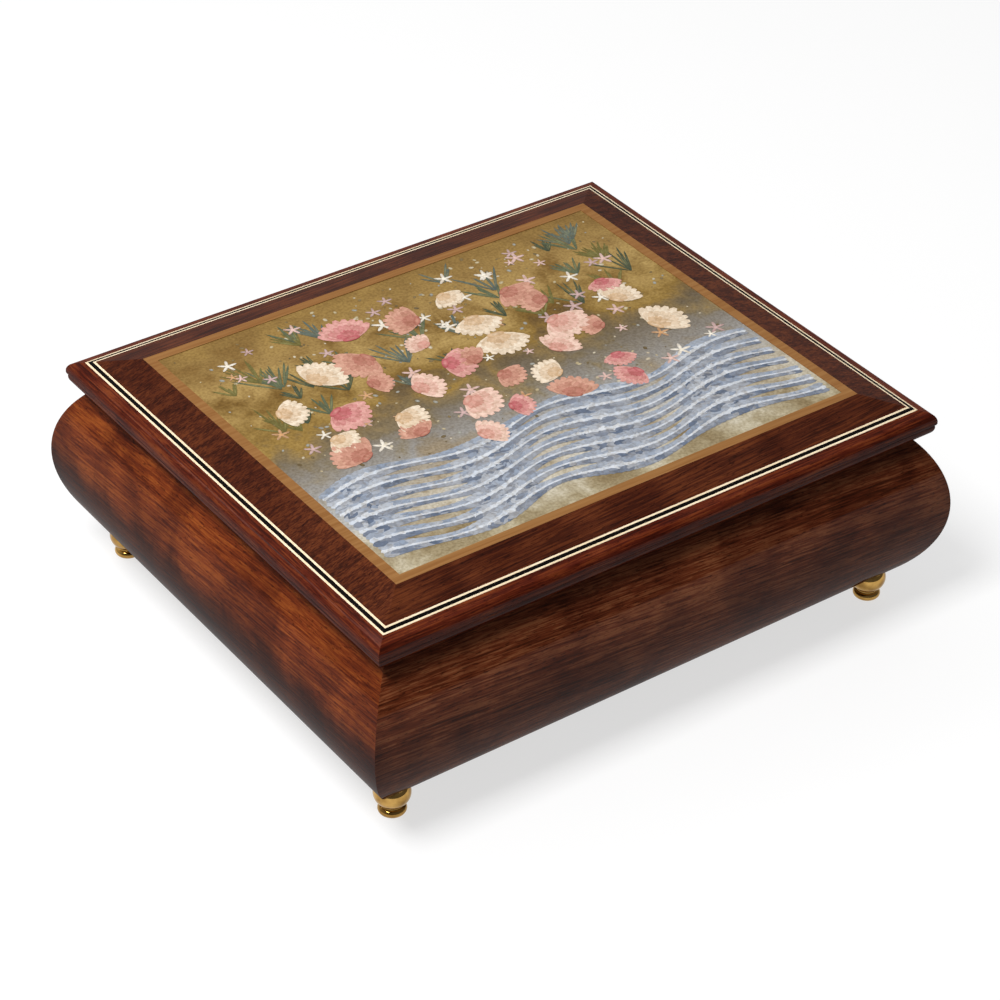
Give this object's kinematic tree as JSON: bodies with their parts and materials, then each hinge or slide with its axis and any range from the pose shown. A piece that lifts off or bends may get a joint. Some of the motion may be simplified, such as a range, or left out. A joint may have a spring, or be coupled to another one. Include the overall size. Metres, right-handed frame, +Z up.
{
  "type": "cylinder music box",
  "caption": "Walnut jewellery box with bulging mitred sides on turned brass feet; a hinged inlaid lid starts a spring-driven cylinder and comb movement inside",
  "frame": {"origin": "centre of the case, on the floor under the feet", "axes": "+X along the long front, to the right; +Y to the hinged back; +Z up"},
  "size_m": [0.216, 0.1858, 0.0756],
  "materials": {
    "walnut_side": "high gloss clear lacquer over figured walnut veneer",
    "walnut_lid": "high gloss clear lacquer over straight-grained walnut veneer",
    "mahogany": "high gloss lacquer, red-brown",
    "string_light": "inlaid light wood under lacquer",
    "string_dark": "inlaid black wood under lacquer",
    "border_wood": "tan wood border under lacquer",
    "picture": null,
    "inner_wood": "bare planed wood",
    "velvet": "wine red velvet",
    "brass": "polished",
    "steel": "fine ground",
    "plate": "nickel plated casting",
    "clear": "clear acrylic, polished",
    "fan_plastic": "white moulded plastic"
  },
  "bodies": {
    "case": {"arbor_bush": "brass", "back_panel": "walnut_side", "barrel_lid": "plate", "bedplate": "plate", "bedplate_screws": "steel", "bottom_panel": "inner_wood", "comb": "steel", "comb_block": "plate", "cover_cleats": "inner_wood", "cover_screws": "steel", "floor_lining": "velvet", "foot_back_left": "brass", "foot_back_right": "brass", "foot_front_left": "brass", "foot_front_right": "brass", "foot_screws": "brass", "front_panel": "walnut_side", "governor_bridge": "plate", "hinge_leaf_lower_left": "brass", "hinge_leaf_lower_right": "brass", "hinge_pins": "brass", "hinge_screws_case": "brass", "left_panel": "walnut_side", "mainspring": "steel", "movement_bearings": "plate", "movement_cover": "clear", "movement_pillars": "plate", "movement_screws": "steel", "partition_front": "velvet", "partition_side": "velvet", "right_panel": "walnut_side", "spring_barrel": "plate", "stop_bush": "brass", "stop_spring": "steel", "wall_linings": "velvet"},
    "lid": {"hinge_leaf_upper_left": "brass", "hinge_leaf_upper_right": "brass", "hinge_screws_lid": "brass", "lid_lining": "velvet", "lid_moulding_back": "mahogany", "lid_moulding_front": "mahogany", "lid_moulding_left": "mahogany", "lid_moulding_right": "mahogany", "lid_panel": "walnut_lid", "picture_border": "border_wood", "picture_panel": "picture", "stringing_dark": "string_dark", "stringing_light": "string_light"},
    "winder": {"winding_key": "brass", "winding_arbor": "steel", "crown_wheel": "brass"},
    "cylinder": {"cylinder": "brass", "cylinder_arbor": "steel", "cylinder_pinion": "brass", "cylinder_wheel": "brass"},
    "governor": {"governor_arbor": "steel", "worm_wheel": "brass"},
    "fan": {"worm_shaft": "steel", "fan": "fan_plastic"},
    "stop": {"stop_pin": "brass"}
  },
  "joints": [
    {"name": "lid_hinge", "type": "hinge", "parent": "case", "child": "lid", "pos_m": [0, 0.0847, 0.06315], "axis": [-1, 0, 0], "range_deg": [0, 100]},
    {"name": "cylinder_turn", "type": "hinge", "parent": "case", "child": "cylinder", "pos_m": [-0.05, 0.04, 0.0381], "axis": [1, 0, 0], "continuous": true},
    {"name": "key_turn", "type": "hinge", "parent": "case", "child": "winder", "pos_m": [-0.076, 0.04, 0.01], "axis": [0, 0, 1], "continuous": true},
    {"name": "governor_turn", "type": "hinge", "parent": "case", "child": "governor", "pos_m": [-0.036, 0.05015, 0.0381], "axis": [1, 0, 0], "continuous": true},
    {"name": "fan_turn", "type": "hinge", "parent": "case", "child": "fan", "pos_m": [-0.031, 0.05845, 0.04], "axis": [0, 0, 1], "continuous": true},
    {"name": "stop_rise", "type": "slide", "parent": "case", "child": "stop", "axis": [0, 0, 1], "range_m": [0, 0.004], "deforming": ["stop_spring"]}
  ],
  "couplings": [
    {"joint": "key_turn", "follows": "cylinder_turn", "ratio": 0.45455},
    {"joint": "governor_turn", "follows": "cylinder_turn", "ratio": -3},
    {"joint": "fan_turn", "follows": "cylinder_turn", "ratio": 36},
    {"joint": "stop_rise", "follows": "lid_hinge", "m_per_rad": 0.00229}
  ]
}
